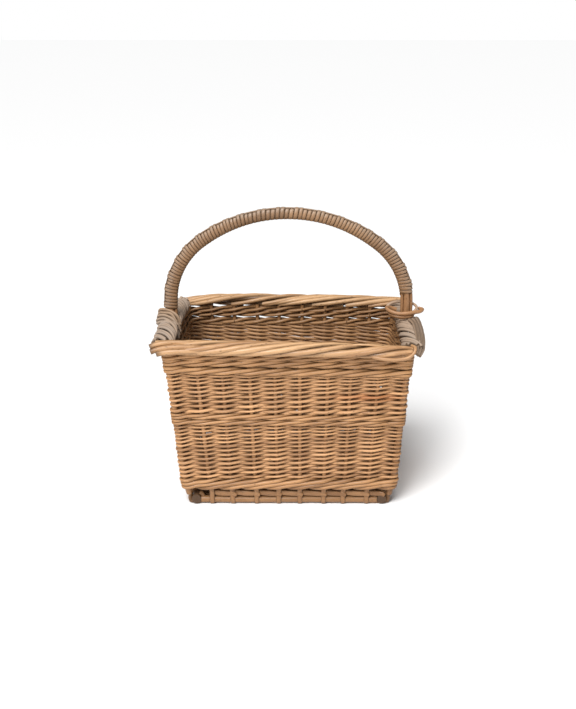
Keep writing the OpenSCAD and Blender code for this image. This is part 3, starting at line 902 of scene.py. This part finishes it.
# %% Plait the end borders
for number, side, near in ((1, "right", (-133.0, 122.0)), (3, "left", (-122.0, 133.0))):
    border = Bundle()
    start = -short_end - 82.0
    strand = 0
    while start < short_end + 2.0:
        begins_low, ends_low = strand % 3 == 2, strand % 3 == 0
        first_turn, last_turn = (-62, 236) if strand % 3 == 0 else (-55, 226)
        length = 92.0 + dice.normal(0, 5)
        radius = 2.85 * (1 + dice.normal(0, 0.08))
        limits = (near[0] + dice.random() * 3, near[1] - dice.random() * 3)
        age = (0.75 if side == "right" else 0.9) + dice.normal(0, 0.08)
        lift = (0.4 - 1.6 * begins_low, 0.9 - 1.7 * ends_low)
        roll_rod(border, number, start, length, first_turn, last_turn, radius, limits,
                 age=age, lift=lift, tip=0.85)
        start += 9.5 + 6.0 * dice.random()
        strand += 1
    for turn in (0, 120, 240):
        # three core rods, painted dark all round as the shade between the plaited rods
        roll_rod(border, number, near[0], near[1] - near[0], turn, turn + 500, 5.0, near,
                 lambda run: 0.62, age=0.1, tip=1.0, tone=0.0, painted_shade_and_dark_ends=0.85)
    for i in range(3):
        if side == "right":
            away = 5.3 * i
            knots = [(197.0 - away, 10.0, 270.0), (202.0 - away, -6.0 - 5 * i, 281.0),
                     (205.5 - away, -40.0, 281.5 + 1.2 * i), (207.0 - away, -75.0, 277.0 + 2.4 * i),
                     (206.0 - 0.95 * away, -105.0, 272.0 + 3.0 * i),
                     (202.0 - 0.75 * away, -132.0, 267.8 + 2.6 * i), (196.0 - 0.5 * away, -147.5, 265.0 + 1.8 * i)]
            # rim paints shade along the edges of each strand
            bend_rod(border, knots, 5.0, 3.4, 2.1, age=0.7 - 0.15 * i, sides=12, tone=0.9, rim=0.75)
        else:
            knots = [(-194.0 + 3 * i, 84.0 + 5 * i, 268.0), (-190.0 + 3.4 * i, 96.0 + 3 * i, 276.0),
                     (-187.5 + 5.4 * i, 104.0, 282.0 - 1.5 * i)]
            bend_rod(border, knots, 3.5, 3.2, 3.2, age=0.8, sides=8)
    border.make("border_" + side, grey_willow, ["border_" + side])

# %% [markdown]
# ## The bow handle
# The handle is one thick rod bent to a bow, its ends pushed down inside the end walls, with a thinner
# rod bound to its inner and its outer side. The bow is drawn from straight legs, a tight shoulder
# and a flatter crown, which are two arcs that meet smoothly.

# %% Bend the bow
leg_x, leg_foot, leg_top = 187.0, 258.0, 308.0
shoulder_x, shoulder_r, crown_z, crown_r = 72.0, 115.0, 212.0, 235.0
arcs_meet = math.degrees(math.atan2(4, 3))
bow_r, bow_foot, side_rod_r, side_rod_offset, side_rod_foot = 5.0, 262.0, 2.45, 7.3, 267.5

def bow_line(offset=0.0, foot=leg_foot):
    """The bow from its left foot over the top to its right foot, moved outwards by offset."""
    half = [(leg_x + offset, z) for z in np.arange(foot, leg_top, 4.0)]
    for degrees in np.linspace(0, arcs_meet, 28)[:-1]:
        t = math.radians(degrees)
        r = shoulder_r + offset
        half.append((shoulder_x + r * math.cos(t), leg_top + r * math.sin(t)))
    for degrees in np.linspace(arcs_meet, 90, 40):
        t = math.radians(degrees)
        half.append(((crown_r + offset) * math.cos(t), crown_z + (crown_r + offset) * math.sin(t)))
    right = np.array(half)
    both = np.vstack([right[:-1] * [-1, 1], right[::-1]])
    return np.stack([both[:, 0], np.zeros(len(both)), both[:, 1]], 1)

def slim(x):
    """The bow is shaved thinner over the crown, so it bends there."""
    return 1.0 - 0.14 * np.exp(-((np.asarray(x, float) / 105.0) ** 4))

bow = Bundle()
arch = bow_line(foot=bow_foot)
bow.add(arch, bow_r * slim(arch[:, 0]), across=(0, 1, 0), sides=12, wobble=0.01)
for x in (-leg_x, leg_x):
    z = np.linspace(bow_foot, 121.0, 20)
    down_inside = x * 0.982 * (1 - 0.00042 * (bow_foot - z))
    bow.add(np.stack([down_inside, np.zeros(20), z], 1), np.linspace(3.4, 2.8, 20), across=(0, 1, 0))
bow.make("handle_bow", handle_willow, ["handle_bow"])
side_rods = Bundle()
for offset in (-side_rod_offset, side_rod_offset):
    arch = bow_line(offset, foot=side_rod_foot)
    drawn_in = (bow_line(0.0, foot=side_rod_foot) - arch) * (1 - slim(arch[:, 0]))[:, None]
    side_rods.add(arch + drawn_in, side_rod_r * slim(arch[:, 0]), across=(0, 1, 0), wobble=0.03)
side_rods.make("handle_side_rods", handle_willow, ["handle_side_rods"])

# %% [markdown]
# A flat strip of split willow, called skein, is wound round all three rods. A wide leader lies along
# the outer side; the skein goes two turns over it and two or three under it, which makes the bumps
# along the top of the arch. The winding is one long flat rod, laid in batches of twelve turns.

# %% Wind the skein
winding_out, winding_deep, skein_thin = 9.75, 5.55, 0.85
fine_step, steps, batch = 0.25, 20, 12

centre = bow_line()
reach = run_of(centre)
fine = np.arange(0, reach[-1], fine_step)
spine = np.stack([np.interp(fine, reach, centre[:, i]) for i in range(3)], 1)
pull = np.gradient(spine, axis=0)
pull /= np.linalg.norm(pull, axis=1)[:, None]
outer_way = np.cross(np.array([0.0, 1.0, 0.0]), pull)
outer_way *= np.sign(outer_way[len(outer_way) // 2, 2])
wind_from = 292.0 - leg_foot
wind_to = reach[-1] - (leg_top - leg_foot) - math.radians(8) * shoulder_r

def strip_width(s):
    """How wide one turn is: narrow on the legs, wider over the top of the arch."""
    share = (s - wind_from) / (wind_to - wind_from)
    return 5.2 + 2.0 * math.exp(-((share - 0.5) / 0.16) ** 2)

turn_starts = [wind_from]
while turn_starts[-1] < wind_to:
    turn_starts.append(turn_starts[-1] + strip_width(turn_starts[-1]) * (1 + dice.normal(0, 0.05)))
over_leader = []
while len(over_leader) < len(turn_starts):
    over_leader += [True] * 2 + [False] * int(dice.integers(2, 4))
winding = Bundle()
for first in range(0, len(turn_starts) - 1, batch):
    line, across, half_wide, grey = [], [], [], []
    last = min(first + batch, len(turn_starts) - 1)
    for turn in range(first, last):
        begin, end = turn_starts[turn], turn_starts[turn + 1]
        for step in range(steps + (1 if turn == last - 1 else 0)):
            angle = 2 * math.pi * step / steps + math.pi
            here = min(int((begin + (end - begin) * step / steps) / fine_step), len(spine) - 1)
            face = max(0.0, math.cos(angle))
            bump = (1.7 if over_leader[turn] else -0.3) * face ** 0.5
            out = (winding_out + bump) * math.cos(angle) * float(slim(spine[here][0]))
            deep = np.array([0.0, winding_deep * math.sin(angle), 0.0])
            line.append(spine[here] + outer_way[here] * out + deep)
            across.append(pull[here])
            half_wide.append((end - begin) * 0.49)
            grey.append(0.05 + 0.6 * face)
    # the edges of each turn are painted dark, as the shade between turns
    winding.add(np.array(line), np.array(half_wide), age=np.array(grey), across=np.array(across), sides=10,
                flat=skein_thin / np.array(half_wide), wobble=0.012, shade=0.75, where="edges")
winding.make("handle_wrapping", skein_willow, ["handle_wrapping"])
print(len(turn_starts), "turns of skein")

# %% Lay the leader
leader_rise, leader_r = 0.72, 1.85

leader = Bundle()
keep = (fine > wind_from + 2) & (fine < wind_to - 2)
bow_part, out_part = spine[keep][::8], outer_way[keep][::8]
ribbon = bow_part + out_part * ((winding_out + leader_rise) * slim(bow_part[:, 0]))[:, None]
for depth in (-2.0, 1.9):
    shifted = ribbon + np.array([0.0, depth, 0.0])
    leader.add(shifted, leader_r, age=0.5, across=(0, 1, 0), flat=0.28, wobble=0.01)
leader.make("handle_leaders", skein_willow, ["handle_leaders"])

# %% [markdown]
# ## Round the feet of the handle
# On the left the border's own rods are carried up over the foot of the bow and down inside. Five
# rods side by side follow the same path, each a little lower and nearer than the last, over a stout
# core painted dark as the shade in the gaps between them.

# %% Carry the rods over the left foot
left_tie = Bundle()
for i, age in enumerate((0.0, 0.1, 0.4, 0.7, 0.85)):
    y, low = -7.4 * i, 3.3 * i
    path = [(-202.0, y + 20, 264.0), (-208.5 + 0.3 * i, y + 12, 275.0 - 0.4 * low),
            (-205.5, y + 3, 285.5 - low), (-196.0, y - 6, 289.8 - low), (-184.0, y - 14, 288.0 - low),
            (-175.5, y - 20, 280.5 - low), (-171.0, y - 23, 269.0 - low)]
    knots = [(x + dice.normal(0, 0.8), deep, z + dice.normal(0, 0.6)) for x, deep, z in path]
    # rim paints shade along the edges of each rod
    bend_rod(left_tie, knots, 3.0, 3.2, 2.5, age=age, across=(0, 1, 0), sides=10, wobble=0.05,
             tone=0.9, rim=0.6)
# the core is painted dark all round, as the shade in the gaps
core = [(-200, 14, 268), (-201, -6, 276), (-190, -20, 277), (-179, -32, 272), (-176, -44, 264)]
bend_rod(left_tie, core, 3.0, 6.0, 6.0, tone=0.0, shade=0.9, where="all round")
left_tie.make("handle_tie_left", grey_willow, ["handle_tie_left"])

# %% [markdown]
# On the right a loose rod is twisted twice round the foot, and its tip sticks out to the right. The
# ring lies nearly level, so it is three short bends that overlap: two in front and one behind.

# %% Twist the loop round the right foot
front_turn = [(172, 9, 291), (162, 8, 294), (155.5, 1, 295.5), (160, -9, 293.5), (170, -15, 291.5),
              (184, -16.5, 291.5), (199, -12.5, 293), (210, -6, 293.5), (213.5, 0, 294.5), (207, 5, 295)]
lower_turn = [(161, 2, 291), (160, -5, 288.5), (168, -13.5, 286.5), (182, -16, 285.5),
              (194, -13, 287), (199, -7, 289.5)]
back_turn = [(155, 3, 293), (160, 10, 299), (172, 15, 302.5), (188, 13, 303), (200, 4, 301.5),
             (203, -5, 298.5), (198.5, -11, 294.5), (187, -14, 291.5)]

loop = Bundle()
bend_rod(loop, front_turn, 3.0, 3.6, 3.1, sides=10, tone=0.95, flat=0.8)
bend_rod(loop, lower_turn, 3.0, 2.9, 2.3, sides=10, tone=0.4, flat=0.8)
bend_rod(loop, back_turn, 3.0, 2.6, 2.3, age=0.45, sides=10, tone=0.8)
loop.make("handle_loop_right", handle_willow, ["handle_loop_right"])

# %% [markdown]
# ## Finish
# The view layer is brought up to date.

# %% Update the view layer
bpy.context.view_layer.update()
